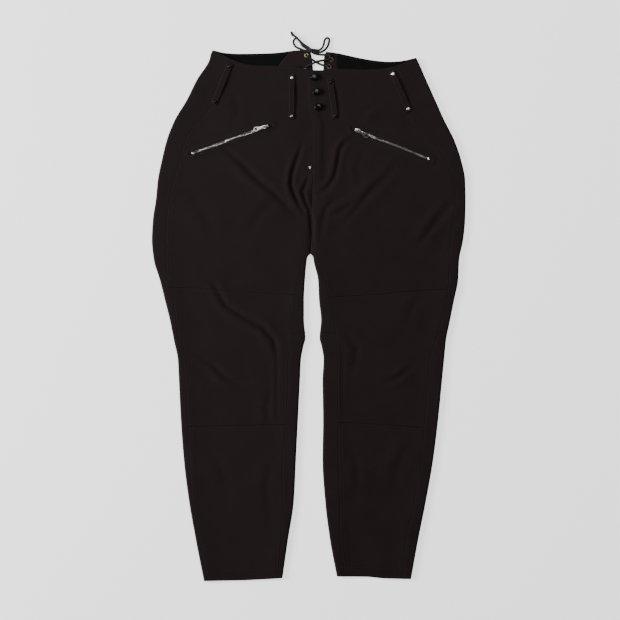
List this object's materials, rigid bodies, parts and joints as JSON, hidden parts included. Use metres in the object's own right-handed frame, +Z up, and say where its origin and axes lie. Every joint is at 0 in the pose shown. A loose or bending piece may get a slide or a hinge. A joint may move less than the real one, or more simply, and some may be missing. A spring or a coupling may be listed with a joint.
{
  "type": "wool riding breeches",
  "caption": "High-waisted wool breeches laid flat, full at the hip and narrow below the knee, with slanted zip pockets, a buttoned fly and a laced back vent",
  "frame": {"origin": "centre of the garment's bounding box on the table, at the underside of the back, without the lace", "axes": "+Y toward the waist, +Z up through the front, +X to the right as seen from the front"},
  "size_m": [0.627, 1.0975, 0.0137],
  "materials": {
    "wool": "matte",
    "lining": "matte",
    "nickel": "polished",
    "button": "gloss",
    "brass": "satin",
    "lace": "matte"
  },
  "bodies": {
    "garment": {"front_thigh_left": "wool", "front_thigh_right": "wool", "front_knee_left": "wool", "front_knee_right": "wool", "front_shin_left": "wool", "front_shin_right": "wool", "back_seat_left": "wool", "back_seat_right": "wool", "back_calf_left": "wool", "back_calf_right": "wool", "vent_facing_left": "wool", "vent_facing_right": "wool", "belt_loop_left_outer": "wool", "belt_loop_left_centre": "wool", "belt_loop_right_centre": "wool", "belt_loop_right_outer": "wool", "waist_lining_left": "lining", "waist_lining_right": "lining", "rivet_left_outer_top": "nickel", "rivet_left_outer_low": "nickel", "rivet_left_centre_top": "nickel", "rivet_left_centre_low": "nickel", "rivet_right_centre_top": "nickel", "rivet_right_centre_low": "nickel", "rivet_right_outer_top": "nickel", "rivet_right_outer_low": "nickel", "zip_chain_left": "nickel", "zip_chain_right": "nickel", "zip_slider_left": "nickel", "zip_slider_right": "nickel", "fly_zip_end": "nickel", "fly_button_upper": "button", "fly_button_middle": "button", "fly_button_lower": "button", "eyelet_left_upper": "brass", "eyelet_left_lower": "brass", "eyelet_right_upper": "brass", "eyelet_right_lower": "brass", "lace_knot": "lace", "lace_cross_low": "lace", "lace_cross_high": "lace", "lace_band": "lace", "lace_end_left": "lace", "lace_loop_left": "lace", "lace_loop_right": "lace"},
    "left_pull": {"zip_pull_left": "nickel"},
    "right_pull": {"zip_pull_right": "nickel"}
  },
  "joints": [
    {"name": "left_pull_hinge", "type": "hinge", "parent": "garment", "child": "left_pull", "pos_m": [-0.086, 0.3754, 0.0101], "axis": [-0.2377, 0.9713, 0], "range_deg": [0, 180]},
    {"name": "right_pull_hinge", "type": "hinge", "parent": "garment", "child": "right_pull", "pos_m": [0.0968, 0.3682, 0.0101], "axis": [-0.5245, -0.8514, 0], "range_deg": [0, 180]}
  ]
}
